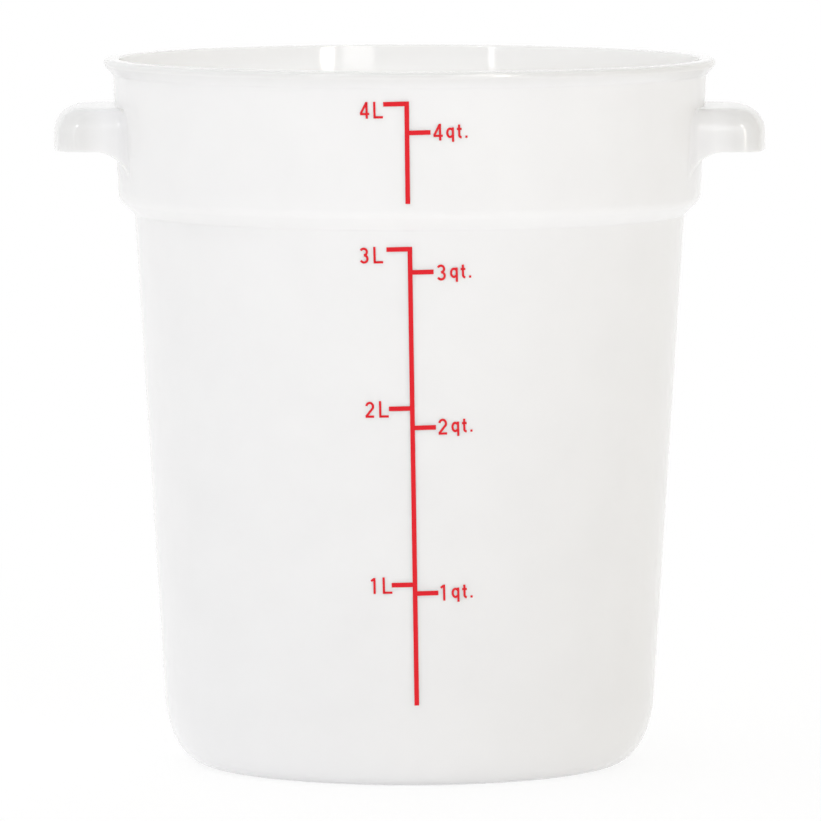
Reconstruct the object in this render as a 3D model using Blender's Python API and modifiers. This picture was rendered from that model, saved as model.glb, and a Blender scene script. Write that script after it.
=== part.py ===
# A round four litre food storage container, moulded in natural polypropylene.
# The tub is one moulding: rim, band, shoulder, tapered wall, floor and two ears.
# A measuring scale in litres and US quarts is printed in red on its front.
# Metres, +Z up. The origin is under the middle of the base, and the scale faces -Y.

import math

import bmesh
import bpy

# Driving dimensions of the tub: the band's outer radius just under the rim, and the height
MOUTH_RADIUS = 0.0910
HEIGHT = 0.2167
WALL = 0.0020
FLOOR = 0.0024

# Rim: a flat land for the lid, a rounded nose and a sloping underside
RIM_OVERHANG = 0.0027
RIM_NOSE = 0.0020
RIM_DEPTH = 0.0049
RIM_NOSE_FILLET = 0.0011
RIM_LIP_FILLET = 0.0006
RIM_RADIUS = MOUTH_RADIUS + RIM_OVERHANG

# Band under the rim, a little narrower at the shoulder than at the mouth
BAND_HEIGHT = 0.0382
BAND_TAPER = 0.0017
BAND_TOP_Z = HEIGHT - RIM_DEPTH
BAND_BOTTOM_Z = BAND_TOP_Z - BAND_HEIGHT
BAND_BOTTOM_RADIUS = MOUTH_RADIUS - BAND_TAPER

# Shoulder between the band and the tapered wall
SHOULDER_WIDTH = 0.0049
SHOULDER_DROP = 0.0045
SHOULDER_FILLET = 0.0042
SHOULDER_CORNER_FILLET = 0.0010

# Tapered wall, measured as if it ran on straight down to the table
WALL_TAPER = 0.0103
WALL_TOP_Z = BAND_BOTTOM_Z - SHOULDER_DROP
WALL_TOP_RADIUS = BAND_BOTTOM_RADIUS - SHOULDER_WIDTH
WALL_BASE_RADIUS = WALL_TOP_RADIUS - WALL_TAPER

# Bottom corner, which is taller than it is wide, and the foot ring under it
CORNER_REACH = 0.0113
CORNER_HEIGHT = 0.0200
FOOT_WIDTH = 0.0034
FOOT_RISE = 0.0008
GATE_RADIUS = 0.0070
GATE_DEPTH = 0.0004

# Ears: hollow lifting handles on the band, open below
EAR_LENGTH = 0.0181
EAR_DROP = 0.0144
EAR_HEIGHT = 0.0131
EAR_HALF_WIDTH = 0.0262
EAR_SPREAD = 0.0018
EAR_CORNER_RADIUS = 0.0070
EAR_END_ROUND = 0.0078
EAR_SIDE_ROUND = 0.0065
EAR_ROOT_FILLET = 0.0040
EAR_WALL = 0.0018
EAR_SWEEP = 0.0100
EAR_REACH = MOUTH_RADIUS + EAR_LENGTH
EAR_TOP_Z = HEIGHT - EAR_DROP
EAR_BOTTOM_Z = EAR_TOP_Z - EAR_HEIGHT

# Printed scale. Heights are shares of the tapered wall, up to the shoulder, or of the band.
LOWER_FOOT_SHARE = 0.1519
LOWER_LITRE_SHARES = (0.3690, 0.6842, 0.9676)
LOWER_QUART_SHARES = (0.3528, 0.6492, 0.9261)
UPPER_FOOT_SHARE = 0.0995
UPPER_LITRE_SHARES = (0.8825,)
UPPER_QUART_SHARES = (0.6531,)
LINE_WIDTH = 0.0014
TICK_WIDTH = 0.0014
TICK_LENGTH = 0.0070
LOWER_FOOT_X = 0.0022
UPPER_FOOT_X = -0.0005
LOWER_LEAN = math.radians(0.87)
UPPER_LEAN = math.radians(0.65)
INK_GAP = 0.0003
INK_THICKNESS = 0.0003

# How far a cutter runs past what it cuts
OVERRUN = 0.0030

# Counts and angles of the facets
TURN_STEPS = 80
ARC_STEP = math.radians(24)
CORNER_STEPS = 8
EAR_LEVELS = 6
EAR_END_STEPS = 3
EAR_CORNER_STEPS = 4
EAR_ROOT_STEPS = 3
EAR_SWEEP_STEPS = 5

MERGE = 0.00001


def clear_scene():
    for old in list(bpy.data.objects):
        bpy.data.objects.remove(old)


def new_collection(name):
    collection = bpy.data.collections.new(name)
    bpy.context.scene.collection.children.link(collection)
    return collection


def new_material(name, colour, roughness):
    material = bpy.data.materials.new(name)
    material.use_nodes = True
    shader = material.node_tree.nodes["Principled BSDF"]
    shader.inputs["Base Color"].default_value = (*colour, 1)
    shader.inputs["Roughness"].default_value = roughness
    shader.inputs["Metallic"].default_value = 0
    return material


def wall_radius(z):
    """Outer radius of the tapered lower wall at a height."""
    return WALL_BASE_RADIUS + WALL_TAPER * z / WALL_TOP_Z


def band_radius(z):
    """Outer radius of the band at a height."""
    return BAND_BOTTOM_RADIUS + BAND_TAPER * (z - BAND_BOTTOM_Z) / BAND_HEIGHT


def band_z(share):
    """Height above the base at a share of the band's own height."""
    return BAND_BOTTOM_Z + BAND_HEIGHT * share


def offset_path(points, distance):
    """A polyline moved to its left by a distance, with mitred corners."""
    normals = []
    for (r0, z0), (r1, z1) in zip(points, points[1:]):
        length = math.hypot(r1 - r0, z1 - z0)
        normals.append(((z0 - z1) / length, (r1 - r0) / length))
    moved = []
    for index, (r, z) in enumerate(points):
        first = normals[max(index - 1, 0)]
        second = normals[min(index, len(normals) - 1)]
        mitre = distance / (1 + first[0] * second[0] + first[1] * second[1])
        moved.append((r + mitre * (first[0] + second[0]), z + mitre * (first[1] + second[1])))
    return moved


def round_corners(corners):
    """Points of a polyline whose corners (r, z, fillet) are rounded with arcs."""
    points = []
    for index, (r, z, fillet) in enumerate(corners):
        if not fillet or index in (0, len(corners) - 1):
            points.append((r, z))
            continue
        before, after = corners[index - 1], corners[index + 1]
        ways = []
        for other in (before, after):
            length = math.hypot(other[0] - r, other[1] - z)
            ways.append(((other[0] - r) / length, (other[1] - z) / length))
        (ax, az), (bx, bz) = ways
        half = math.acos(max(-1, min(1, ax * bx + az * bz))) / 2
        reach = fillet / math.tan(half)
        middle = math.hypot(ax + bx, az + bz)
        cr = r + (ax + bx) / middle * fillet / math.sin(half)
        cz = z + (az + bz) / middle * fillet / math.sin(half)
        start = math.atan2(z + az * reach - cz, r + ax * reach - cr)
        turn = math.atan2(z + bz * reach - cz, r + bx * reach - cr) - start
        turn = (turn + math.pi) % (2 * math.pi) - math.pi
        steps = max(2, math.ceil(abs(turn) / ARC_STEP))
        for step in range(steps + 1):
            angle = start + turn * step / steps
            points.append((cr + fillet * math.cos(angle), cz + fillet * math.sin(angle)))
    return points


def corner_points(radius_at, reach, base, top):
    """The bottom corner from the wall down to the floor: an ellipse that leans with the wall."""
    points = []
    for step in range(CORNER_STEPS + 1):
        angle = math.pi / 2 * step / CORNER_STEPS
        z = base + (top - base) * (1 - math.sin(angle))
        points.append((radius_at(z) - reach * (1 - math.cos(angle)), z))
    return points


def inner_wall_radius(z):
    """Inner radius of the tapered lower wall at a height."""
    return wall_radius(z) - WALL / math.cos(math.atan(WALL_TAPER / WALL_TOP_Z))


def outer_skin():
    """Outer corners from the rim's underside to the start of the bottom corner."""
    return [
        (MOUTH_RADIUS, BAND_TOP_Z),
        (BAND_BOTTOM_RADIUS, BAND_BOTTOM_Z),
        (WALL_TOP_RADIUS, WALL_TOP_Z),
        (wall_radius(CORNER_HEIGHT), CORNER_HEIGHT),
    ]


def floor_level():
    return FOOT_RISE + FLOOR


def inside_points():
    """The cavity's side of the tub's section, from the middle of the floor to the rim."""
    skin = outer_skin()
    mouth, shoulder, ledge, foot = offset_path(skin, -WALL)
    lip_radius = mouth[0] + (HEIGHT - mouth[1]) * BAND_TAPER / BAND_HEIGHT
    corner = corner_points(
        inner_wall_radius, CORNER_REACH - WALL, floor_level(), CORNER_HEIGHT)
    upper = round_corners([
        (*foot, 0),
        (*ledge, SHOULDER_CORNER_FILLET + WALL),
        (*shoulder, SHOULDER_FILLET - WALL),
        (lip_radius, HEIGHT, RIM_LIP_FILLET),
        (RIM_RADIUS, HEIGHT, 0),
    ])
    return [(0, floor_level())] + corner[::-1] + upper[1:-1]


def outside_points():
    """The outer side of the tub's section, from the rim to the middle of the underside."""
    skin = outer_skin()
    upper = round_corners([
        (MOUTH_RADIUS, HEIGHT, 0),
        (RIM_RADIUS, HEIGHT, RIM_NOSE_FILLET),
        (RIM_RADIUS, HEIGHT - RIM_NOSE, RIM_NOSE_FILLET),
        (*skin[0], RIM_NOSE_FILLET),
        (*skin[1], SHOULDER_FILLET),
        (*skin[2], SHOULDER_CORNER_FILLET),
        (*skin[3], 0),
    ])
    corner = corner_points(wall_radius, CORNER_REACH, 0, CORNER_HEIGHT)
    foot_outer = WALL_BASE_RADIUS - CORNER_REACH
    foot_inner = foot_outer - FOOT_WIDTH
    underside = [
        (foot_inner, 0),
        (foot_inner - FOOT_RISE, FOOT_RISE),
        (GATE_RADIUS + GATE_DEPTH, FOOT_RISE),
        (GATE_RADIUS, FOOT_RISE + GATE_DEPTH),
        (0, FOOT_RISE + GATE_DEPTH),
    ]
    return upper[1:-1] + corner + underside


def turned(name, points, collection, closed):
    """A turned body: a profile in the XZ plane with a Screw modifier about Z."""
    mesh = bpy.data.meshes.new(name)
    edges = [(index, index + 1) for index in range(len(points) - 1)]
    if closed:
        edges.append((len(points) - 1, 0))
    mesh.from_pydata([(r, 0, z) for r, z in points], edges, [])
    body = bpy.data.objects.new(name, mesh)
    collection.objects.link(body)
    screw = body.modifiers.new("turn", "SCREW")
    screw.steps = TURN_STEPS
    screw.render_steps = TURN_STEPS
    screw.use_merge_vertices = True
    screw.merge_threshold = MERGE
    screw.use_smooth_shade = True
    return body


def as_cutter(body):
    body.hide_render = True
    body.display_type = "WIRE"
    return body


def boolean(body, operation, other):
    modifier = body.modifiers.new(other.name, "BOOLEAN")
    modifier.operation = operation
    modifier.solver = "EXACT"
    modifier.object = other


def arc(centre, radius, start, end, steps):
    """Points of an arc in plan, both ends included."""
    points = []
    for step in range(steps + 1):
        angle = start + (end - start) * step / steps
        points.append((centre[0] + radius * math.cos(angle), centre[1] + radius * math.sin(angle)))
    return points


def ear_outline(root, reach, root_half, end_half, corner, fillet, inner):
    """Plan of an ear on +X at one level: flared root, side, rounded corner and curved end.

    root is the radius that the flare runs into, and inner is where the root ends inside.
    """
    end_x = math.sqrt((reach - corner) ** 2 - (end_half - corner) ** 2)
    corner_centre = (end_x, end_half - corner)
    swing = math.atan2(corner_centre[1], corner_centre[0])
    side = math.atan2(root_half - end_half, end_x - root)
    half = arc((0, 0), reach, 0, swing, EAR_END_STEPS)[:-1]
    half += arc(corner_centre, corner, swing, math.pi / 2 - side, EAR_CORNER_STEPS)
    if fillet:
        flare_y = root_half + fillet
        flare = (math.sqrt((root + fillet) ** 2 - flare_y ** 2), flare_y)
        toward = math.pi + math.atan2(flare[1], flare[0])
        half += arc(flare, fillet, 1.5 * math.pi - side, toward, EAR_ROOT_STEPS)
        half.append((inner * math.cos(toward - math.pi), inner * math.sin(toward - math.pi)))
    else:
        half.append((inner, root_half))
    mirrored = [(x, -y) for x, y in half[:0:-1]]
    return mirrored + half


def lofted(name, rings, collection):
    """A closed body through rings of equally many points, listed from the top down."""
    shape = bmesh.new()
    loops = [[shape.verts.new(point) for point in ring] for ring in rings]
    count = len(loops[0])
    for upper, lower in zip(loops, loops[1:]):
        for index in range(count):
            after = (index + 1) % count
            shape.faces.new((upper[index], lower[index], lower[after], upper[after]))
    shape.faces.new(loops[0])
    shape.faces.new(loops[-1][::-1])
    bmesh.ops.recalc_face_normals(shape, faces=shape.faces)
    mesh = bpy.data.meshes.new(name)
    shape.to_mesh(mesh)
    shape.free()
    body = bpy.data.objects.new(name, mesh)
    collection.objects.link(body)
    return body


def ear_block(name, skin, bottom, fillet, collection):
    """The ear's outer form when skin is 0, or its pocket when skin is the ear's wall."""
    top = EAR_TOP_Z - skin
    end_round = EAR_END_ROUND - skin
    side_round = EAR_SIDE_ROUND - skin
    heights = []
    for level in range(EAR_LEVELS + 1):
        angle = math.pi / 2 * level / EAR_LEVELS
        heights.append(end_round * (1 - math.cos(angle)))
    rings = []
    for drop in heights + [top - bottom]:
        z = top - drop
        end_in = end_round - math.sqrt(end_round ** 2 - max(end_round - drop, 0) ** 2)
        side_in = side_round - math.sqrt(side_round ** 2 - max(side_round - drop, 0) ** 2)
        outline = ear_outline(
            root=band_radius(z) - WALL / 4,
            reach=EAR_REACH - skin - end_in,
            root_half=EAR_HALF_WIDTH + EAR_SPREAD - skin - side_in,
            end_half=EAR_HALF_WIDTH - skin - side_in,
            corner=EAR_CORNER_RADIUS - skin,
            fillet=fillet,
            inner=band_radius(z) - WALL - OVERRUN)
        rings.append([(x, y, z) for x, y in outline])
    return lofted(name, rings, collection)


def ear_sweep(name, cutters):
    """What is cut away below an ear: its sides sweep down to the band in an arc."""
    foot = EAR_BOTTOM_Z - EAR_SWEEP
    inside = band_radius(foot) - WALL / 8
    curve = arc((inside + EAR_SWEEP, foot), EAR_SWEEP, math.pi, math.pi / 2, EAR_SWEEP_STEPS)
    return as_cutter(turned(name, curve + [
        (EAR_REACH + OVERRUN, EAR_BOTTOM_Z),
        (EAR_REACH + OVERRUN, foot - OVERRUN),
        (inside, foot - OVERRUN),
    ], cutters, closed=True))


def ear(name, heading, cutters):
    """One hollow ear, open below, trimmed to end inside the band's wall."""
    foot = EAR_BOTTOM_Z - EAR_SWEEP
    body = ear_block(name, 0, foot, EAR_ROOT_FILLET, cutters)
    pocket = as_cutter(ear_block(name + "_pocket", EAR_WALL, foot - OVERRUN, 0, cutters))
    low, high = foot - OVERRUN, EAR_TOP_Z + OVERRUN
    core = as_cutter(turned(name + "_core", [
        (0, high),
        (band_radius(high) - WALL / 2, high),
        (band_radius(low) - WALL / 2, low),
        (0, low),
    ], cutters, closed=False))
    boolean(body, "DIFFERENCE", pocket)
    boolean(body, "DIFFERENCE", core)
    boolean(body, "DIFFERENCE", ear_sweep(name + "_sweep", cutters))
    for piece in (body, pocket):
        piece.rotation_euler.z = heading
    return as_cutter(body)


def make_tub(parts, cutters, material):
    tub = turned("tub", inside_points() + outside_points(), parts, closed=False)
    tub.data.materials.append(material)
    for name, heading in (("right_ear", 0), ("left_ear", math.pi)):
        boolean(tub, "UNION", ear(name, heading, cutters))
    return tub


def scale_outline(foot_x, lean, foot, litres, quarts):
    """The scale seen from the front: an upright line, litre ticks left and quart ticks right."""
    head = max(litres + quarts) + TICK_WIDTH / 2

    def line_x(z):
        return foot_x - (z - foot) * math.tan(lean)

    half = LINE_WIDTH / 2
    right = [(line_x(foot) + half, foot)]
    for z in sorted(quarts):
        for x, edge in ((half, -1), (TICK_LENGTH, -1), (TICK_LENGTH, 1), (half, 1)):
            right.append((line_x(z) + x, z + edge * TICK_WIDTH / 2))
    left = []
    for z in sorted(litres, reverse=True):
        for x, edge in ((half, 1), (TICK_LENGTH, 1), (TICK_LENGTH, -1), (half, -1)):
            left.append((line_x(z) - x, z + edge * TICK_WIDTH / 2))
    top = [(line_x(head) + half, head)]
    return right + top + left[1:] + [(line_x(foot) - half, foot)]


def stencil(name, outline, depth, collection):
    """A flat outline standing in the XZ plane, extruded through the front wall."""
    curve = bpy.data.curves.new(name, "CURVE")
    curve.dimensions = "2D"
    curve.fill_mode = "BOTH"
    curve.extrude = depth / 2
    spline = curve.splines.new("POLY")
    spline.points.add(len(outline) - 1)
    for point, (x, z) in zip(spline.points, outline):
        point.co = (x, z, 0, 1)
    spline.use_cyclic_u = True
    drawn = bpy.data.objects.new(name + "_outline", curve)
    collection.objects.link(drawn)
    drawn.rotation_euler.x = math.pi / 2
    drawn.location.y = -depth
    bpy.context.view_layer.update()
    mesh = bpy.data.meshes.new_from_object(drawn.evaluated_get(bpy.context.evaluated_depsgraph_get()))
    shape = bmesh.new()
    shape.from_mesh(mesh)
    bmesh.ops.remove_doubles(shape, verts=shape.verts, dist=MERGE)
    shape.to_mesh(mesh)
    shape.free()
    body = bpy.data.objects.new(name, mesh)
    body.matrix_world = drawn.matrix_world
    collection.objects.link(body)
    bpy.data.objects.remove(drawn)
    return as_cutter(body)


def make_scale(name, radius_at, outline, parts, cutters, material):
    """Ink that follows the wall: a thin sleeve round the tub, kept only inside the outline."""
    low = min(z for x, z in outline) - OVERRUN / 2
    high = max(z for x, z in outline) + OVERRUN / 2
    near, far = INK_GAP, INK_GAP + INK_THICKNESS
    sleeve = turned(name, [
        (radius_at(high) + near, high),
        (radius_at(high) + far, high),
        (radius_at(low) + far, low),
        (radius_at(low) + near, low),
    ], parts, closed=True)
    sleeve.data.materials.append(material)
    boolean(sleeve, "INTERSECT", stencil(name + "_stencil", outline, RIM_RADIUS * 2 / 3, cutters))
    return sleeve


def main():
    clear_scene()
    parts = new_collection("food_storage_container")
    cutters = new_collection("cutters")
    plastic = new_material("natural_polypropylene", (0.86, 0.86, 0.85), 0.3)
    ink = new_material("red_screen_ink", (0.78, 0.02, 0.03), 0.45)
    make_tub(parts, cutters, plastic)
    lower = scale_outline(
        LOWER_FOOT_X, LOWER_LEAN, WALL_TOP_Z * LOWER_FOOT_SHARE,
        [WALL_TOP_Z * share for share in LOWER_LITRE_SHARES],
        [WALL_TOP_Z * share for share in LOWER_QUART_SHARES])
    upper = scale_outline(
        UPPER_FOOT_X, UPPER_LEAN, band_z(UPPER_FOOT_SHARE),
        [band_z(share) for share in UPPER_LITRE_SHARES],
        [band_z(share) for share in UPPER_QUART_SHARES])
    make_scale("lower_scale", wall_radius, lower, parts, cutters, ink)
    make_scale("upper_scale", band_radius, upper, parts, cutters, ink)


main()
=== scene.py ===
# %% [markdown]
# # A round four litre food storage container
#
# The real object is one moulding in natural polypropylene: a tapered tub with a
# wider band at the top, a flat rim for a lid and two hollow ears to lift it by.
# A measuring scale is screen printed in red on its front.
#
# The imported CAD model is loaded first, as a fixed frame. It gives every place
# and size, and this script gives the looks: a finer moulding, the plastic, the
# ink, the lettering, the light and the camera.

import math

import bmesh
import bpy
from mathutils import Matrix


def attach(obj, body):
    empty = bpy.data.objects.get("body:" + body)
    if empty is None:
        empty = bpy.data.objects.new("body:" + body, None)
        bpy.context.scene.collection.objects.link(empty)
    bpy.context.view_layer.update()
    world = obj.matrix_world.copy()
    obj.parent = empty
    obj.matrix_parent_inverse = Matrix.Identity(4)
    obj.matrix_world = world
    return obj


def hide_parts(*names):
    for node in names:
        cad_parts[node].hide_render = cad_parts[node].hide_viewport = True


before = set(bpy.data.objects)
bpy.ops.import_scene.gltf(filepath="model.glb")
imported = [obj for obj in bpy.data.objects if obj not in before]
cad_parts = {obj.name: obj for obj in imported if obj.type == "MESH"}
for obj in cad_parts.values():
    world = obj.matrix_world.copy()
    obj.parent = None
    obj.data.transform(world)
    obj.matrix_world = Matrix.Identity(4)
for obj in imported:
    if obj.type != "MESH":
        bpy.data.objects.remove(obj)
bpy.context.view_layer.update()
print("nodes:", sorted(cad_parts))

# %% [markdown]
# ## The camera
#
# The photograph was taken from nearly three metres away with a long lens, a
# little above the rim, so the tub shows almost no perspective. The distance and
# the tilt could be guessed by eye. Here they were worked out from how much the
# rim's ellipse opens and from where the ears, the rim and the base fall.

# %% Camera
PICTURE_PIXELS = 821
FOCAL_PIXELS = 9091.3
SENSOR_MM = 36
CAMERA_PLACE = (0.0003, -2.7881, 0.3464)
TILT_DOWN = 0.085247
FAR_CLIP = 50


def add_camera(place, tilt_down):
    """The scene's camera. It looks along Y and is tilted down by an angle in radians."""
    camera = bpy.data.objects.new("camera", bpy.data.cameras.new("camera"))
    camera.data.sensor_width = SENSOR_MM
    camera.data.lens = SENSOR_MM * FOCAL_PIXELS / PICTURE_PIXELS
    camera.data.clip_end = FAR_CLIP
    camera.location = place
    camera.rotation_euler.x = math.pi / 2 - tilt_down
    bpy.context.scene.collection.objects.link(camera)
    bpy.context.scene.camera = camera
    return camera


camera = add_camera(CAMERA_PLACE, TILT_DOWN)
print("lens %.1f mm, tilted down %.1f degrees" % (camera.data.lens, math.degrees(TILT_DOWN)))

# %% [markdown]
# ## Colours and nodes
#
# Colours are written as sRGB hex, the way a designer picks them, and one
# function turns them into the linear numbers that a shader works with. A second
# small function adds any node with its settings and its links, which keeps the
# materials short enough to read.

# %% Colour and node helpers
def linear(hex_colour):
    """An sRGB hex colour as linear red, green, blue and alpha."""
    channels = []
    for start in (1, 3, 5):
        value = int(hex_colour[start:start + 2], 16) / 255
        if value <= 0.04045:
            channels.append(value / 12.92)
        else:
            channels.append(((value + 0.055) / 1.055) ** 2.4)
    return (*channels, 1)


def add_node(tree, kind, settings=(), **inputs):
    """Adds a node. An input is a plain value, or an output socket to link from.

    An input is named by its label, with _ for a space, or by its number, as in _0.
    """
    node = tree.nodes.new(kind)
    for name, value in dict(settings).items():
        setattr(node, name, value)
    for name, value in inputs.items():
        key = int(name[1:]) if name[1:].isdigit() else name.replace("_", " ")
        socket = node.inputs[key]
        if isinstance(value, bpy.types.NodeSocket):
            tree.links.new(value, socket)
        else:
            socket.default_value = value
    return node


def new_material(name):
    """An empty material and its node tree."""
    material = bpy.data.materials.new(name)
    material.use_nodes = True
    material.node_tree.nodes.clear()
    return material, material.node_tree


print("#F0F0EE is, in linear light,", tuple(round(c, 3) for c in linear("#F0F0EE")))

# %% [markdown]
# ## Background
#
# The photograph has a plain white background. It could be a curved paper sweep,
# but a flat pale floor under a white world does the same with less. The world
# looks white to the camera and in reflections. What it lights the tub with is a
# little darker, and stronger from behind than from in front, because in the
# photograph the thin wall glows with light that comes through it. From the right
# it is a little warmer and darker, as the photograph is there.

# %% World
HORIZON_LEVEL = 0.79
ZENITH_LEVEL = 0.84
FRONT_SHARE = 0.85
BACK_SHARE = 1.45
RIGHT_TINT = "#C2BBAB"
TINT_FROM = 0.3
TINT_FULL = 0.8


def add_world():
    """White to the camera and in reflections, and a soft uneven light for the tub."""
    world = bpy.data.worlds.new("studio")
    bpy.context.scene.world = world
    world.use_nodes = True
    tree = world.node_tree
    tree.nodes.clear()
    path = add_node(tree, "ShaderNodeLightPath")
    seen = add_node(
        tree, "ShaderNodeMath", {"operation": "ADD"},
        _0=path.outputs["Is Camera Ray"], _1=path.outputs["Is Glossy Ray"])
    seen = add_node(
        tree, "ShaderNodeMath", {"operation": "ADD", "use_clamp": True},
        _0=seen.outputs[0], _1=path.outputs["Is Transmission Ray"])
    # The light grows a little from the horizon up to the zenith.
    way = add_node(tree, "ShaderNodeTexCoord")
    way = add_node(tree, "ShaderNodeSeparateXYZ", _0=way.outputs["Generated"])
    strength = add_node(
        tree, "ShaderNodeMapRange", Value=way.outputs["Z"], From_Min=0, From_Max=1,
        To_Min=HORIZON_LEVEL, To_Max=ZENITH_LEVEL)
    # More of it comes from behind the tub than from the camera's side.
    behind = add_node(
        tree, "ShaderNodeMapRange", Value=way.outputs["Y"], From_Min=-1, From_Max=1,
        To_Min=FRONT_SHARE, To_Max=BACK_SHARE)
    strength = add_node(
        tree, "ShaderNodeMath", {"operation": "MULTIPLY"},
        _0=strength.outputs["Result"], _1=behind.outputs["Result"])
    # It is tinted towards the right. Inputs 6 and 7 of a Mix node are its two colours.
    side = add_node(
        tree, "ShaderNodeMapRange", Value=way.outputs["X"], From_Min=TINT_FROM, From_Max=TINT_FULL)
    tint = add_node(
        tree, "ShaderNodeMix", {"data_type": "RGBA"}, _0=side.outputs["Result"],
        _6=linear("#FFFFFF"), _7=linear(RIGHT_TINT))
    light = add_node(
        tree, "ShaderNodeBackground", Color=tint.outputs["Result"], Strength=strength.outputs[0])
    white = add_node(tree, "ShaderNodeBackground", Color=linear("#FFFFFF"), Strength=1)
    both = add_node(
        tree, "ShaderNodeMixShader", _0=seen.outputs[0], _1=light.outputs[0], _2=white.outputs[0])
    add_node(tree, "ShaderNodeOutputWorld", Surface=both.outputs[0])


bpy.context.scene.view_settings.view_transform = "Standard"
add_world()
print("world:", bpy.context.scene.world.name)

# %% [markdown]
# ## Floor
#
# To the camera the floor is glowing white, with a fifth of matt paint mixed in
# round the tub, so it stays white and still holds the soft shadow. It also
# shines faintly upward, like a light table, which lifts the underside. Painted
# board alone would be simpler, but it renders grey under a soft light.

# %% Floor
FLOOR_HALF = 12
FLOOR_FILL = 0.17
GLOW_FROM = 0.15
GLOW_FULL = 0.6
GLOW_BY_TUB = 0.8


def floor_paint():
    """Matt white floor paint, which glows for the camera and a little for the tub."""
    material, tree = new_material("matt_white_floor_paint")
    paint = add_node(tree, "ShaderNodeBsdfDiffuse", Color=linear("#F6F6F6"))
    glow = add_node(tree, "ShaderNodeEmission", Color=linear("#FFFFFF"), Strength=1)
    path = add_node(tree, "ShaderNodeLightPath")
    seen = add_node(
        tree, "ShaderNodeMath", {"operation": "ADD"},
        _0=path.outputs["Is Camera Ray"], _1=path.outputs["Is Glossy Ray"])
    # The glow is weakest by the tub, where the shadow falls, and full from 0.6 m out.
    place = add_node(tree, "ShaderNodeTexCoord")
    far = add_node(
        tree, "ShaderNodeVectorMath", {"operation": "LENGTH"}, _0=place.outputs["Object"])
    far = add_node(
        tree, "ShaderNodeMapRange", Value=far.outputs["Value"], From_Min=GLOW_FROM,
        From_Max=GLOW_FULL, To_Min=GLOW_BY_TUB, To_Max=1)
    seen = add_node(
        tree, "ShaderNodeMath", {"operation": "MULTIPLY"},
        _0=seen.outputs[0], _1=far.outputs["Result"])
    # Like a light table, it also shines faintly on what stands on it.
    fill = add_node(tree, "ShaderNodeEmission", Color=linear("#FFFFFF"), Strength=FLOOR_FILL)
    lit = add_node(tree, "ShaderNodeAddShader", _0=paint.outputs[0], _1=fill.outputs[0])
    both = add_node(
        tree, "ShaderNodeMixShader", _0=seen.outputs[0], _1=lit.outputs[0], _2=glow.outputs[0])
    add_node(tree, "ShaderNodeOutputMaterial", Surface=both.outputs[0])
    return material


def add_floor(half):
    """A square floor at the height that the tub stands on, half as wide as given each way."""
    corners = [(-half, -half, 0), (half, -half, 0), (half, half, 0), (-half, half, 0)]
    mesh = bpy.data.meshes.new("floor")
    mesh.from_pydata(corners, [], [(0, 1, 2, 3)])
    mesh.materials.append(floor_paint())
    floor = bpy.data.objects.new("floor", mesh)
    bpy.context.scene.collection.objects.link(floor)


add_floor(FLOOR_HALF)
print("floor: %d m square" % (2 * FLOOR_HALF))

# %% [markdown]
# ## Lamps
#
# The highlights tell where the real lamps stood. The bright patch on the inside
# of the back wall mirrors a tall soft box, 21 degrees right of the camera, and
# the narrow streaks beside it mirror two strip boxes, 34 degrees to each side.
# The dots on the ears and the short lines on the near rim mirror two small
# boxes higher up, and the upright streak on the right ear mirrors a low one.
#
# One big soft lamp would be simpler, but gloss without these lamps in it doesn't
# look like this plastic. The last three are there only for the gloss: they don't
# light the plastic itself, because the white room does that.

# %% Lamps
AIM = (0, 0, 0.12)
WARM_WHITE = "#FFF8EC"


def add_lamp(name, azimuth, elevation, distance, size, power, colour="#FFFFFF", gloss_only=False):
    """A rectangular lamp aimed at the tub.

    Azimuth is in degrees from the camera's side to the right, and elevation in degrees up.
    Distance and size are in metres, and power is in watts.
    """
    lamp = bpy.data.lights.new(name, "AREA")
    lamp.shape = "RECTANGLE"
    lamp.size, lamp.size_y = size
    lamp.energy = power
    lamp.color = linear(colour)[:3]
    holder = bpy.data.objects.new(name, lamp)
    turn, rise = math.radians(azimuth), math.radians(elevation)
    holder.location = (
        AIM[0] + distance * math.sin(turn) * math.cos(rise),
        AIM[1] - distance * math.cos(turn) * math.cos(rise),
        AIM[2] + distance * math.sin(rise))
    holder.rotation_euler = (math.pi / 2 - rise, 0, turn)
    holder.visible_camera = False
    holder.visible_diffuse = not gloss_only
    bpy.context.scene.collection.objects.link(holder)


add_lamp("tall_soft_box", 21, 12, 2.6, (0.56, 1.10), 6)
for side, colour in ((-1, "#FFFFFF"), (1, WARM_WHITE)):
    add_lamp("strip_box", side * 34, 12, 2.6, (0.10, 1.10), 3, colour)
    add_lamp("small_box", side * 28, 28, 2.6, (0.44, 0.36), 8, colour, gloss_only=True)
add_lamp("low_box", 34, 5, 2.5, (0.24, 0.50), 6, WARM_WHITE, gloss_only=True)

# %% [markdown]
# ## Sizes
#
# These are the sizes of the moulding in metres. They are the CAD model's own, so
# that the finer surface made here lies on the CAD's. Only the spread of the ears'
# sides differs, as told further on.

# %% Sizes of the moulding
MM = 0.001
HEIGHT = 216.7 * MM
MOUTH_RADIUS = 91.0 * MM
RIM_RADIUS = 93.7 * MM
RIM_NOSE = 2.0 * MM
RIM_DEPTH = 4.9 * MM
RIM_NOSE_FILLET = 1.1 * MM
RIM_LIP_FILLET = 0.6 * MM
BAND_TOP_Z = HEIGHT - RIM_DEPTH
BAND_HEIGHT = 38.2 * MM
BAND_BOTTOM_Z = BAND_TOP_Z - BAND_HEIGHT
BAND_BOTTOM_RADIUS = 89.3 * MM
SHOULDER_FILLET = 4.2 * MM
SHOULDER_CORNER_FILLET = 1.0 * MM
SHOULDER_DROP = 4.5 * MM
WALL_TOP_Z = BAND_BOTTOM_Z - SHOULDER_DROP
WALL_TOP_RADIUS = 84.4 * MM
WALL_BASE_RADIUS = 74.1 * MM
WALL = 2.0 * MM
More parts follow.
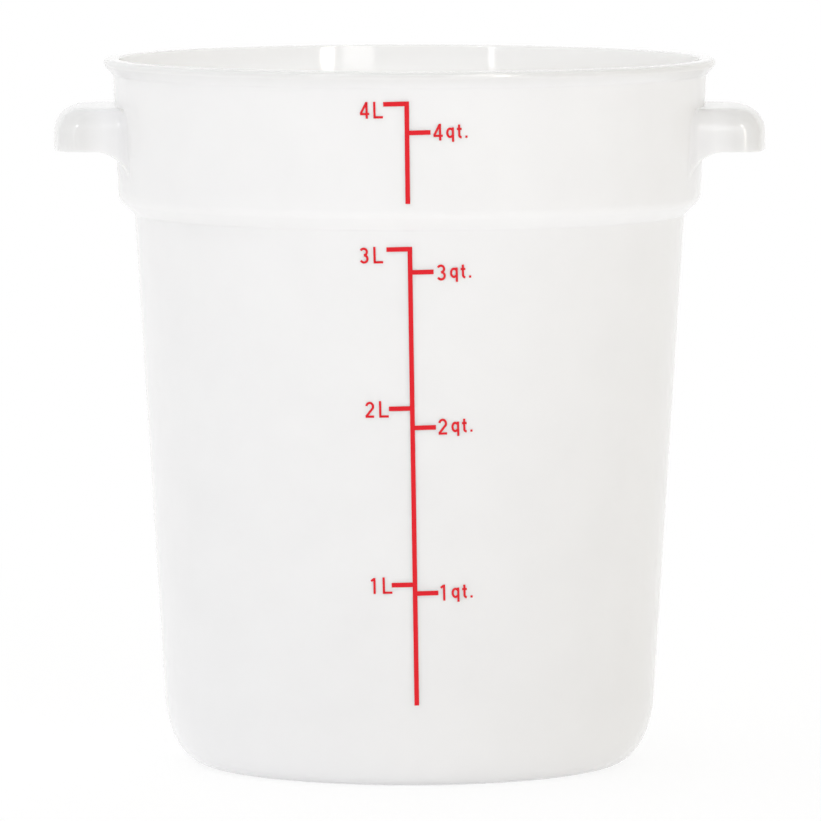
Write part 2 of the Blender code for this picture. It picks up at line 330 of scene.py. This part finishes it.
FLOOR_LEVEL = 3.2 * MM
CORNER_REACH = 11.3 * MM
CORNER_HEIGHT = 20.0 * MM
FOOT_WIDTH = 3.4 * MM
FOOT_RISE = 0.8 * MM
GATE_RADIUS = 7.0 * MM
GATE_DEPTH = 0.4 * MM


def wall_radius(z):
    """Outer radius of the tapered wall."""
    return WALL_BASE_RADIUS + (WALL_TOP_RADIUS - WALL_BASE_RADIUS) * z / WALL_TOP_Z


def band_radius(z):
    """Outer radius of the band."""
    share = (z - BAND_BOTTOM_Z) / BAND_HEIGHT
    return BAND_BOTTOM_RADIUS + (MOUTH_RADIUS - BAND_BOTTOM_RADIUS) * share


# %% [markdown]
# ## The section of the tub
#
# A turned form starts from one section. The corners are listed as a toolmaker
# would dimension them, with a fillet for each, and one function replaces each
# corner by its arc. Wall and floor are the same list moved inward by the wall's
# thickness. A bevel modifier could round the edges instead, but true arcs keep
# each fillet's own size.

# %% Section points
ARC_STEP = math.radians(9)
CORNER_STEPS = 28
LONGEST_STEP = 5 * MM


def offset_path(points, distance):
    """A polyline moved to its left by a distance, with mitred corners."""
    normals = []
    for (r0, z0), (r1, z1) in zip(points, points[1:]):
        length = math.hypot(r1 - r0, z1 - z0)
        normals.append(((z0 - z1) / length, (r1 - r0) / length))
    moved = []
    for index, (r, z) in enumerate(points):
        first = normals[max(index - 1, 0)]
        second = normals[min(index, len(normals) - 1)]
        mitre = distance / (1 + first[0] * second[0] + first[1] * second[1])
        moved.append((r + mitre * (first[0] + second[0]), z + mitre * (first[1] + second[1])))
    return moved


def round_corners(corners):
    """Points of a polyline whose corners (r, z, fillet) are rounded with arcs."""
    points = []
    for index, (r, z, fillet) in enumerate(corners):
        if not fillet or index in (0, len(corners) - 1):
            points.append((r, z))
            continue
        ways = []
        for other in (corners[index - 1], corners[index + 1]):
            length = math.hypot(other[0] - r, other[1] - z)
            ways.append(((other[0] - r) / length, (other[1] - z) / length))
        (ax, az), (bx, bz) = ways
        half = math.acos(max(-1, min(1, ax * bx + az * bz))) / 2
        reach = fillet / math.tan(half)
        middle = math.hypot(ax + bx, az + bz)
        cr = r + (ax + bx) / middle * fillet / math.sin(half)
        cz = z + (az + bz) / middle * fillet / math.sin(half)
        start = math.atan2(z + az * reach - cz, r + ax * reach - cr)
        turn = math.atan2(z + bz * reach - cz, r + bx * reach - cr) - start
        turn = (turn + math.pi) % (2 * math.pi) - math.pi
        steps = max(2, math.ceil(abs(turn) / ARC_STEP))
        for step in range(steps + 1):
            angle = start + turn * step / steps
            points.append((cr + fillet * math.cos(angle), cz + fillet * math.sin(angle)))
    return points


def short_steps(points, longest):
    """The same polyline with no step longer than the longest allowed."""
    fine = [points[0]]
    for (x0, z0), (x1, z1) in zip(points, points[1:]):
        count = max(1, math.ceil(math.hypot(x1 - x0, z1 - z0) / longest))
        for step in range(1, count + 1):
            fine.append((x0 + (x1 - x0) * step / count, z0 + (z1 - z0) * step / count))
    return fine


def corner_points(radius_at, reach, base, top):
    """The bottom corner, from the wall down: an ellipse that leans with the wall."""
    points = []
    for step in range(CORNER_STEPS + 1):
        angle = math.pi / 2 * step / CORNER_STEPS
        z = base + (top - base) * (1 - math.sin(angle))
        points.append((radius_at(z) - reach * (1 - math.cos(angle)), z))
    return points


def tub_section():
    """The closed section, from the middle of the floor over the rim to the underside."""
    skin = [
        (MOUTH_RADIUS, BAND_TOP_Z),
        (BAND_BOTTOM_RADIUS, BAND_BOTTOM_Z),
        (WALL_TOP_RADIUS, WALL_TOP_Z),
        (wall_radius(CORNER_HEIGHT), CORNER_HEIGHT),
    ]
    mouth, shoulder, ledge, foot = offset_path(skin, -WALL)
    slant = WALL / math.cos(math.atan((WALL_TOP_RADIUS - WALL_BASE_RADIUS) / WALL_TOP_Z))
    lip_radius = mouth[0] + (HEIGHT - mouth[1]) * (MOUTH_RADIUS - BAND_BOTTOM_RADIUS) / BAND_HEIGHT
    inner_corner = corner_points(
        lambda z: wall_radius(z) - slant, CORNER_REACH - WALL, FLOOR_LEVEL, CORNER_HEIGHT)
    outer_corner = corner_points(wall_radius, CORNER_REACH, 0, CORNER_HEIGHT)
    inner = round_corners([
        (*foot, 0),
        (*ledge, SHOULDER_CORNER_FILLET + WALL),
        (*shoulder, SHOULDER_FILLET - WALL),
        (lip_radius, HEIGHT, RIM_LIP_FILLET),
        (RIM_RADIUS, HEIGHT, 0),
    ])
    outer = round_corners([
        (MOUTH_RADIUS, HEIGHT, 0),
        (RIM_RADIUS, HEIGHT, RIM_NOSE_FILLET),
        (RIM_RADIUS, HEIGHT - RIM_NOSE, RIM_NOSE_FILLET),
        (*skin[0], RIM_NOSE_FILLET),
        (*skin[1], SHOULDER_FILLET),
        (*skin[2], SHOULDER_CORNER_FILLET),
        (*skin[3], 0),
    ])
    foot_outer = WALL_BASE_RADIUS - CORNER_REACH
    underside = [
        (foot_outer - FOOT_WIDTH, 0),
        (foot_outer - FOOT_WIDTH - FOOT_RISE, FOOT_RISE),
        (GATE_RADIUS + GATE_DEPTH, FOOT_RISE),
        (GATE_RADIUS, FOOT_RISE + GATE_DEPTH),
        (0, FOOT_RISE + GATE_DEPTH),
    ]
    return ([(0, FLOOR_LEVEL)] + inner_corner[::-1] + inner[1:-1] + outer[1:-1]
            + outer_corner + underside)


section = short_steps(tub_section(), LONGEST_STEP)
print("section points:", len(section))

# %% [markdown]
# ## Turning the section
#
# A Screw modifier turns the section round the axis, as the mould's cavity was
# turned on a lathe. 240 steps make each facet 1.5 degrees wide, too fine to see
# in the outline.

# %% Turned bodies
TURN_STEPS = 240
SEAM_MERGE = 0.01 * MM


def turned(name, points, closed=False):
    """A profile in the XZ plane turned about Z."""
    mesh = bpy.data.meshes.new(name)
    edges = [(index, index + 1) for index in range(len(points) - 1)]
    if closed:
        edges.append((len(points) - 1, 0))
    mesh.from_pydata([(r, 0, z) for r, z in points], edges, [])
    body = bpy.data.objects.new(name, mesh)
    bpy.context.scene.collection.objects.link(body)
    screw = body.modifiers.new("turn", "SCREW")
    screw.steps = TURN_STEPS
    screw.render_steps = TURN_STEPS
    screw.use_merge_vertices = True
    screw.merge_threshold = SEAM_MERGE
    screw.use_smooth_shade = True
    return body


tub = turned("tub_moulding", section)
print("turned", tub.name)

# %% [markdown]
# ## The ears
#
# Each ear is a hollow loop of wall, open below, that fingers fit under. Seen
# from above it flares into the band, runs straight out, turns a rounded corner
# and ends on a wide curve. Its top edge is rolled over, and its sides sweep
# down to the band. It is lofted through level outlines, then the pocket and the
# sweep are cut out and the whole is joined to the tub with exact booleans, so
# that the plastic is one skin for the light to travel in.
#
# The sides spread by 0.8 mm towards the band. That is one millimetre less than in
# the CAD model, because the photograph's left ear has two dots of light with none
# between them, which only a nearly straight side shows.

# %% Ear sizes and outline
EAR_REACH = MOUTH_RADIUS + 18.1 * MM
EAR_TOP_Z = HEIGHT - 14.4 * MM
EAR_BOTTOM_Z = EAR_TOP_Z - 13.1 * MM
EAR_HALF_WIDTH = 26.2 * MM
EAR_SPREAD = 0.8 * MM
EAR_CORNER_RADIUS = 7.0 * MM
EAR_END_ROUND = 7.8 * MM
EAR_SIDE_ROUND = 6.5 * MM
EAR_ROOT_FILLET = 4.0 * MM
EAR_WALL = 1.8 * MM
EAR_SWEEP = 10.0 * MM
OVERRUN = 3.0 * MM
# How far the flare, the sweep and the core that clears the inside reach into the wall.
FLARE_SINK = WALL / 40
SWEEP_SINK = WALL / 8
CORE_SINK = WALL / 2
# How finely the rolled edge and each curve in plan are divided.
EAR_LEVELS = 18
EAR_END_STEPS = 12
EAR_CORNER_STEPS = 14
EAR_FILLET_STEPS = 10
EAR_SWEEP_STEPS = 16


def arc(centre, radius, start, end, steps):
    """Points of an arc in plan, both ends included."""
    angles = [start + (end - start) * step / steps for step in range(steps + 1)]
    return [(centre[0] + radius * math.cos(a), centre[1] + radius * math.sin(a)) for a in angles]


def ear_outline(root, reach, root_half, end_half, corner, fillet, inner):
    """Plan of the right ear at one level, from its near side round the end to its far side."""
    end_x = math.sqrt((reach - corner) ** 2 - (end_half - corner) ** 2)
    corner_centre = (end_x, end_half - corner)
    swing = math.atan2(corner_centre[1], corner_centre[0])
    side = math.atan2(root_half - end_half, end_x - root)
    half = arc((0, 0), reach, 0, swing, EAR_END_STEPS)[:-1]
    half += arc(corner_centre, corner, swing, math.pi / 2 - side, EAR_CORNER_STEPS)
    if fillet:
        flare_y = root_half + fillet
        flare = (math.sqrt((root + fillet) ** 2 - flare_y ** 2), flare_y)
        toward = math.pi + math.atan2(flare[1], flare[0])
        half += arc(flare, fillet, 1.5 * math.pi - side, toward, EAR_FILLET_STEPS)
        half.append((inner * math.cos(toward - math.pi), inner * math.sin(toward - math.pi)))
    else:
        half.append((inner, root_half))
    return [(x, -y) for x, y in half[:0:-1]] + half


sample = ear_outline(
    BAND_BOTTOM_RADIUS, EAR_REACH, EAR_HALF_WIDTH + EAR_SPREAD, EAR_HALF_WIDTH,
    EAR_CORNER_RADIUS, EAR_ROOT_FILLET, BAND_BOTTOM_RADIUS - WALL)
print("points in the ear's outline:", len(sample))

# %% Lofted bodies
def lofted(name, rings):
    """A closed body through rings of equally many points, listed from the top down."""
    shape = bmesh.new()
    loops = [[shape.verts.new(point) for point in ring] for ring in rings]
    count = len(loops[0])
    for upper, lower in zip(loops, loops[1:]):
        for index in range(count):
            after = (index + 1) % count
            shape.faces.new((upper[index], lower[index], lower[after], upper[after]))
    shape.faces.new(loops[0])
    shape.faces.new(loops[-1][::-1])
    bmesh.ops.recalc_face_normals(shape, faces=shape.faces)
    for face in shape.faces:
        face.smooth = True
    mesh = bpy.data.meshes.new(name)
    shape.to_mesh(mesh)
    shape.free()
    body = bpy.data.objects.new(name, mesh)
    bpy.context.scene.collection.objects.link(body)
    return body


def ear_block(name, skin, bottom, fillet):
    """The ear's outer form when skin is 0, or its pocket when skin is the ear's wall."""
    top, end_round, side_round = EAR_TOP_Z - skin, EAR_END_ROUND - skin, EAR_SIDE_ROUND - skin
    angles = [math.pi / 2 * level / EAR_LEVELS for level in range(EAR_LEVELS + 1)]
    drops = [end_round * (1 - math.cos(angle)) for angle in angles]
    rings = []
    for drop in drops + [top - bottom]:
        z = top - drop
        end_in = end_round - math.sqrt(end_round ** 2 - max(end_round - drop, 0) ** 2)
        side_in = side_round - math.sqrt(side_round ** 2 - max(side_round - drop, 0) ** 2)
        half = EAR_HALF_WIDTH - skin - side_in
        outline = ear_outline(
            band_radius(z) - FLARE_SINK, EAR_REACH - skin - end_in, half + EAR_SPREAD, half,
            EAR_CORNER_RADIUS - skin, fillet, band_radius(z) - WALL - OVERRUN)
        rings.append([(x, y, z) for x, y in outline])
    return lofted(name, rings)


print("an ear is %.1f mm wide and stands %.1f mm out from the mouth" % (
    2 * EAR_HALF_WIDTH / MM, (EAR_REACH - MOUTH_RADIUS) / MM))

# %% Both ears, cut and joined
def cut_or_join(body, operation, other):
    """Adds a boolean of another object, which no longer shows itself. Returns that object."""
    modifier = body.modifiers.new(other.name, "BOOLEAN")
    modifier.operation = operation
    modifier.solver = "EXACT"
    modifier.object = other
    other.hide_render = True
    return other


def add_ear(name, heading):
    """One hollow ear, with the objects that shape it."""
    foot = EAR_BOTTOM_Z - EAR_SWEEP
    low, high = foot - OVERRUN, EAR_TOP_Z + OVERRUN
    body = ear_block(name, 0, foot, EAR_ROOT_FILLET)
    pocket = cut_or_join(body, "DIFFERENCE", ear_block(name + "_pocket", EAR_WALL, low, 0))
    core = cut_or_join(body, "DIFFERENCE", turned(name + "_core", [
        (0, high),
        (band_radius(high) - CORE_SINK, high),
        (band_radius(low) - CORE_SINK, low),
        (0, low),
    ]))
    inside = band_radius(foot) - SWEEP_SINK
    curve = arc(
        (inside + EAR_SWEEP, foot), EAR_SWEEP, math.pi, math.pi / 2, EAR_SWEEP_STEPS)
    sweep = cut_or_join(body, "DIFFERENCE", turned(name + "_sweep", curve + [
        (EAR_REACH + OVERRUN, EAR_BOTTOM_Z),
        (EAR_REACH + OVERRUN, low),
        (inside, low),
    ], closed=True))
    for piece in (body, pocket):
        piece.rotation_euler.z = heading
    return [body, pocket, core, sweep]


helpers = []
for ear_name, heading in (("right_ear", 0), ("left_ear", math.pi)):
    made = add_ear(ear_name, heading)
    cut_or_join(tub, "UNION", made[0])
    helpers += made
print("ear helpers:", len(helpers))

# %% [markdown]
# ## One skin
#
# The modifiers are turned into plain mesh and the helpers removed. They could be
# left to run, but a plain mesh can be cleaned: exact booleans leave a few points
# that lie all but on each other. Edges sharper than 30 degrees stay crisp, as they
# are where two halves of a mould meet, and the rest is shaded smooth.

# %% Apply the modifiers
MERGE = 0.005 * MM
TOO_SHORT = 0.002 * MM
NEARLY_STRAIGHT = math.radians(5)
CRISP = math.radians(30)


def settle(body, leftovers):
    """Turns the modified shape into the object's own mesh and removes the helpers."""
    bpy.context.view_layer.update()
    shown = body.evaluated_get(bpy.context.evaluated_depsgraph_get())
    mesh = bpy.data.meshes.new_from_object(shown)
    body.modifiers.clear()
    body.data = mesh
    for other in leftovers:
        bpy.data.objects.remove(other)
    shape = bmesh.new()
    shape.from_mesh(mesh)
    bmesh.ops.remove_doubles(shape, verts=shape.verts, dist=MERGE)
    bmesh.ops.dissolve_degenerate(shape, edges=shape.edges, dist=TOO_SHORT)
    # A point that only divides an edge would leave a sliver on both sides of it.
    spare = [
        vert for vert in shape.verts
        if len(vert.link_edges) == 2 and vert.calc_edge_angle(1) < NEARLY_STRAIGHT]
    bmesh.ops.dissolve_verts(shape, verts=spare)
    for face in shape.faces:
        face.smooth = True
    for edge in shape.edges:
        edge.smooth = len(edge.link_faces) == 2 and edge.calc_face_angle(0) < CRISP
    open_edges = sum(1 for edge in shape.edges if len(edge.link_faces) != 2)
    shape.to_mesh(mesh)
    volume = shape.calc_volume()
    shape.free()
    return volume, open_edges


volume, open_edges = settle(tub, helpers)
print("tub: %d faces, %.1f ml of plastic, %d open edges" % (
    len(tub.data.polygons), volume * 1e6, open_edges))

# %% [markdown]
# ## Natural polypropylene
#
# The plastic has no pigment. Crystals in polypropylene scatter the light, so a
# two millimetre wall looks like frosted milk glass: light enters it, spreads and
# comes out again on either side. A mix of a matt and a see-through shader could
# fake that, but subsurface scattering does it by itself.
#
# The same melt has two skins. The outside has a soft gloss with a very fine
# orange peel, and light spreads about 3 mm in it. The inside was shaped by the
# polished core of the mould: it is glossier, and the light travels deeper. Its
# colour is painted lighter than the outside's, as painted light, so the cavity
# glows. The ears and the rim are mixed towards a darker colour, as painted shade
# that holds down the light they catch, and the step is gradual.

# %% Polypropylene
POLYPROPYLENE_IOR = 1.49
CLOUD_SIZE = 20 * MM
STREAK_WIDTH = 6 * MM
STREAK_SQUEEZE = 0.08
PEEL_SIZE = 1.2 * MM
# Where the painted shade starts and where it is full: on the ears by distance from the axis, on the
# rim by height.
EAR_FROM = MOUTH_RADIUS + 2 * MM
EAR_FULL = MOUTH_RADIUS + 8 * MM
RIM_FROM = HEIGHT - 4.6 * MM
RIM_FULL = HEIGHT - 1.4 * MM


def natural_polypropylene(name, shades, painted_shade_colour, depth, gloss_range, peel_height):
    """Natural polypropylene. The same melt, with the skin that one half of the mould gives it.

    Its third colour is painted shade, mixed in on the ears and the rim.
    """
    material, tree = new_material(name)
    place = add_node(tree, "ShaderNodeTexCoord")
    # Faint clouds about 20 mm across, where the melt cooled at different speeds.
    cloud = add_node(
        tree, "ShaderNodeTexNoise", Vector=place.outputs["Object"], Scale=1 / CLOUD_SIZE,
        Detail=3, Roughness=0.5)
    tint = add_node(
        tree, "ShaderNodeMix", {"data_type": "RGBA"}, _0=cloud.outputs["Fac"],
        _6=linear(shades[0]), _7=linear(shades[1]))
    # Painted shade: the ears and the top of the rim are mixed towards a darker colour, which holds
    # down the light they catch.
    where = add_node(tree, "ShaderNodeSeparateXYZ", _0=place.outputs["Object"])
    aside = add_node(tree, "ShaderNodeMath", {"operation": "ABSOLUTE"}, _0=where.outputs["X"])
    ear = add_node(
        tree, "ShaderNodeMapRange", Value=aside.outputs[0], From_Min=EAR_FROM, From_Max=EAR_FULL)
    rim = add_node(
        tree, "ShaderNodeMapRange", Value=where.outputs["Z"], From_Min=RIM_FROM, From_Max=RIM_FULL)
    painted_shade_mask = add_node(
        tree, "ShaderNodeMath", {"operation": "MAXIMUM"},
        _0=ear.outputs["Result"], _1=rim.outputs["Result"])
    tint = add_node(
        tree, "ShaderNodeMix", {"data_type": "RGBA"}, _0=painted_shade_mask.outputs[0],
        _6=tint.outputs["Result"], _7=linear(painted_shade_colour))
    # Flow marks: streaks about 6 mm wide that run up the wall, away from the gate in the base.
    # The pattern's height is squeezed before the noise reads it, so the noise comes out long.
    streak_place = add_node(
        tree, "ShaderNodeMapping", Vector=place.outputs["Object"], Scale=(1, 1, STREAK_SQUEEZE))
    streak = add_node(
        tree, "ShaderNodeTexNoise", Vector=streak_place.outputs[0], Scale=1 / STREAK_WIDTH,
        Detail=2)
    gloss = add_node(
        tree, "ShaderNodeMapRange", Value=streak.outputs["Fac"],
        To_Min=gloss_range[0], To_Max=gloss_range[1])
    # Orange peel: dimples about 1.2 mm across and a few thousandths of a millimetre deep.
    peel = add_node(
        tree, "ShaderNodeTexNoise", Vector=place.outputs["Object"], Scale=1 / PEEL_SIZE, Detail=2)
    bump = add_node(
        tree, "ShaderNodeBump", Strength=1, Distance=peel_height, Height=peel.outputs["Fac"])
    plastic = add_node(
        tree, "ShaderNodeBsdfPrincipled", Base_Color=tint.outputs["Result"],
        Roughness=gloss.outputs["Result"], IOR=POLYPROPYLENE_IOR, Subsurface_Weight=1,
        Subsurface_Radius=(1, 1, 1), Subsurface_Scale=depth, Normal=bump.outputs["Normal"])
    add_node(tree, "ShaderNodeOutputMaterial", Surface=plastic.outputs[0])
    return material


# The third colour of each skin is its painted shade for the ears and the rim.
outside_skin = natural_polypropylene(
    "natural_polypropylene_outside", ("#EBEBEC", "#F0F0F1"), "#E3E3E3",
    depth=3 * MM, gloss_range=(0.12, 0.18), peel_height=0.006 * MM)
# The inside skin's colours are painted lighter than the outside's, as painted light that makes the
# cavity glow.
inside_skin = natural_polypropylene(
    "natural_polypropylene_inside", ("#FBFBFB", "#FEFEFE"), "#FBFBFB",
    depth=20 * MM, gloss_range=(0.05, 0.09), peel_height=0.003 * MM)
print("skins:", outside_skin.name, "and", inside_skin.name)

# %% The two skins of the tub
# The core of the mould shaped what faces the axis or faces up inside the mouth.
FACES_INWARD = -0.3
FACES_UP = 0.5

tub.data.materials.clear()
tub.data.materials.append(outside_skin)
tub.data.materials.append(inside_skin)
for face in tub.data.polygons:
    x, y, z = face.center
    inward = (face.normal.x * x + face.normal.y * y) / max(math.hypot(x, y), MM)
    cavity = math.hypot(x, y) < band_radius(HEIGHT) and z > FLOOR_LEVEL - 0.1 * MM
    by_core = cavity and (inward < FACES_INWARD or face.normal.z > FACES_UP)
    face.material_index = 1 if by_core else 0
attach(tub, "root")
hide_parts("tub")
inner_faces = sum(face.material_index for face in tub.data.polygons)
print("inside faces:", inner_faces, "of", len(tub.data.polygons))

# %% [markdown]
# ## The printed scale
#
# Litres stand to the left of an upright line and US quarts to its right. The
# print is ink about two hundredths of a millimetre thick, pushed through a
# screen that rolls round the tub. It could be painted in a material, but then
# its edges would need a picture. Here each stroke is a thin ribbon of ink laid
# on the wall, so its edges are sharp at any size.

# %% Laying ink on the wall
# Twice the ink's real thickness, which keeps it clear of the facets of the wall.
INK_LIFT = 0.04 * MM
INK_STEP = 0.7 * MM
STROKE_LIFT = 0.0004 * MM


def on_wall(x, z, lift):
    """The point of the front wall at a height, x round it from the middle, lifted off it."""
    radius = (band_radius(z) if z > BAND_BOTTOM_Z else wall_radius(z)) + lift
    return (radius * math.sin(x / radius), -radius * math.cos(x / radius), z)


def lay_ribbon(shape, points, width, lift):
    """Adds one stroke of ink: a strip of quads along a polyline, with mitred corners."""
    points = short_steps(points, INK_STEP)
    left = offset_path(points, width / 2)
    right = offset_path(points, -width / 2)
    rows = []
    for (lx, lz), (rx, rz) in zip(left, right):
        middle = ((lx + rx) / 2, (lz + rz) / 2)
        across = ((lx, lz), middle, (rx, rz))
        rows.append([shape.verts.new(on_wall(x, z, lift)) for x, z in across])
    for row, after in zip(rows, rows[1:]):
        for index in (0, 1):
            shape.faces.new((row[index], row[index + 1], after[index + 1], after[index]))


def as_print(name, strokes):
    """An object from strokes of (points, width). Each lies a hair above the one before."""
    shape = bmesh.new()
    for index, (points, width) in enumerate(strokes):
        lay_ribbon(shape, points, width, INK_LIFT + index * STROKE_LIFT)
    bmesh.ops.recalc_face_normals(shape, faces=shape.faces)
    if sum(face.normal.y for face in shape.faces) > 0:
        bmesh.ops.reverse_faces(shape, faces=shape.faces)
    mesh = bpy.data.meshes.new(name)
    shape.to_mesh(mesh)
    shape.free()
    piece = bpy.data.objects.new(name, mesh)
    bpy.context.scene.collection.objects.link(piece)
    return piece


print("the wall is at", [round(c / MM, 1) for c in on_wall(0, 0.1, 0)])

# %% [markdown]
# ## Letters
#
# The lettering is a plain narrow gothic, as a draughtsman letters a drawing:
# each figure is a few strokes of even width. The strokes are drawn on a grid
# where a figure is 1 high, and the round parts are arcs.

# %% Letter strokes
def bowl(x, z, wide, high, start, end, steps=14):
    """An elliptical arc, in degrees."""
    angles = [math.radians(start + (end - start) * step / steps) for step in range(steps + 1)]
    return [(x + wide * math.cos(a), z + high * math.sin(a)) for a in angles]


LETTERS = {
    "1": [[(0, 0.78), (0.20, 0.92)], [(0.20, 0.97), (0.20, 0)]],
    "2": [bowl(0.26, 0.67, 0.20, 0.23, 170, -25) + [(0.03, 0.07)], [(0, 0.07), (0.52, 0.07)]],
    "3": [bowl(0.25, 0.70, 0.19, 0.20, 155, -90), bowl(0.26, 0.285, 0.21, 0.215, 90, -155)],
    "4": [[(0.40, 1), (0.40, 0)], [(0.40, 0.97), (0.04, 0.30)], [(0, 0.28), (0.56, 0.28)]],
    "L": [[(0.11, 1), (0.11, 0)], [(0.11, 0.07), (0.62, 0.07)]],
    "q": [bowl(0.24, 0.44, 0.17, 0.25, 40, 320), [(0.41, 0.76), (0.41, -0.11)]],
    "t": [[(0.14, 0.92)] + bowl(0.27, 0.28, 0.13, 0.13, 180, 275, 6), [(0, 0.65), (0.29, 0.65)]],
    ".": [[(0.07, 0.11), (0.07, 0.25)]],
}
ADVANCE = {"1": 0.65, "2": 0.78, "3": 0.79, "4": 0.76, "L": 0.60, "q": 0.65, "t": 0.50, ".": 0.15}
LETTER_HEIGHT = 5.0 * MM
LETTER_STROKE = 0.70 * MM


def letter_strokes(text, x, z, tilt):
    """Strokes of a line of lettering whose left end and foot are at x, z."""
    strokes = []
    along = 0
    for letter in text:
        for stroke in LETTERS[letter]:
            placed = []
            for u, v in stroke:
                u, v = (along + u) * LETTER_HEIGHT, v * LETTER_HEIGHT
                placed.append((
                    x + u * math.cos(tilt) - v * math.sin(tilt),
                    z + u * math.sin(tilt) + v * math.cos(tilt)))
            strokes.append((placed, LETTER_STROKE))
        along += ADVANCE[letter]
    return strokes


print("letters drawn:", " ".join(sorted(LETTERS)))

# %% [markdown]
# ## Marks
#
# The print leans about a degree, so the marks tilt too. Each height is where
# the mark stands on the tub. The two lines are printed on their own, one on the
# wall and one on the band, because the screen can't roll over the shoulder.

# %% Lines and marks
LINE_WIDTH = 1.4 * MM
MARK_WIDTH = 1.4 * MM
MARK_LENGTH = 7.0 * MM
MARK_TILT = math.radians(1.4)
MARK_START = 0.4

# In millimetres and degrees: the foot of the line (x, z), its lean, and for each
# mark its height, its side, its text, and where that text starts and stands.
LOWER = ((2.2, 25.7), 0.87, [
    (62.4, -1, "1L", -13.1, -2.6), (115.7, -1, "2L", -14.0, -2.6), (163.6, -1, "3L", -15.0, -4.1),
    (59.7, 1, "1qt.", 7.8, -2.4), (109.8, 1, "2qt.", 7.8, -2.3), (156.6, 1, "3qt.", 8.0, -2.7)])
UPPER = ((-0.5, 177.4), 0.65, [
    (207.3, -1, "4L", -13.9, -4.2), (198.6, 1, "4qt.", 7.9, -2.5)])


def scale_strokes(foot, lean, marks):
    """Line and mark strokes, and the lettering's strokes."""
    (foot_x, foot_z), lean = (foot[0] * MM, foot[1] * MM), math.radians(lean)
    top = max(mark[0] for mark in marks) * MM + MARK_WIDTH / 2

    def line_x(z):
        return foot_x - (z - foot_z) * math.tan(lean)

    lines = [([(line_x(foot_z), foot_z), (line_x(top), top)], LINE_WIDTH)]
    words = []
    for height, side, text, start, stand in marks:
        z = height * MM
        x = line_x(z)
        rise = math.tan(MARK_TILT)
        near, far = side * LINE_WIDTH * MARK_START, side * MARK_LENGTH
        lines.append(([(x + near, z + near * rise), (x + far, z + far * rise)], MARK_WIDTH))
        words += letter_strokes(text, x + start * MM, z + stand * MM + start * MM * rise, MARK_TILT)
    return lines, words


print("marks:", " ".join(mark[2] for mark in LOWER[2] + UPPER[2]))

# %% [markdown]
# ## Screen ink
#
# Screen ink for plastic is opaque and dries nearly matt, in a film that the
# squeegee leaves a little uneven. It could be one flat red, but a faint drift
# between two reds keeps it from looking like a sticker. Its gloss is held low,
# because the white room mirrored in it would wash the red out.

# %% Ink
INK_IOR = 1.5
FILM_SIZE = 2 * MM


def red_screen_ink():
    """Red screen ink: opaque and nearly matt, in a film that is a little uneven."""
    material, tree = new_material("red_screen_ink")
    place = add_node(tree, "ShaderNodeTexCoord")
    # The squeegee leaves the film uneven over about 2 mm.
    film = add_node(
        tree, "ShaderNodeTexNoise", Vector=place.outputs["Object"], Scale=1 / FILM_SIZE, Detail=2)
    tint = add_node(
        tree, "ShaderNodeMix", {"data_type": "RGBA"}, _0=film.outputs["Fac"],
        _6=linear("#DB0A1C"), _7=linear("#E60F22"))
    ink = add_node(
        tree, "ShaderNodeBsdfPrincipled", Base_Color=tint.outputs["Result"], Roughness=0.45,
        IOR=INK_IOR, Specular_IOR_Level=0.25)
    add_node(tree, "ShaderNodeOutputMaterial", Surface=ink.outputs[0])
    return material


ink = red_screen_ink()
print("ink:", ink.name)

# %% The printed pieces
for node, (foot, lean, marks) in (("lower_scale", LOWER), ("upper_scale", UPPER)):
    lines, words = scale_strokes(foot, lean, marks)
    for name, strokes in ((node + "_lines", lines), (node + "_lettering", words)):
        piece = as_print(name, strokes)
        piece.data.materials.append(ink)
        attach(piece, "root")
        if strokes is lines:
            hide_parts(node)
        print(name, len(piece.data.polygons), "faces")
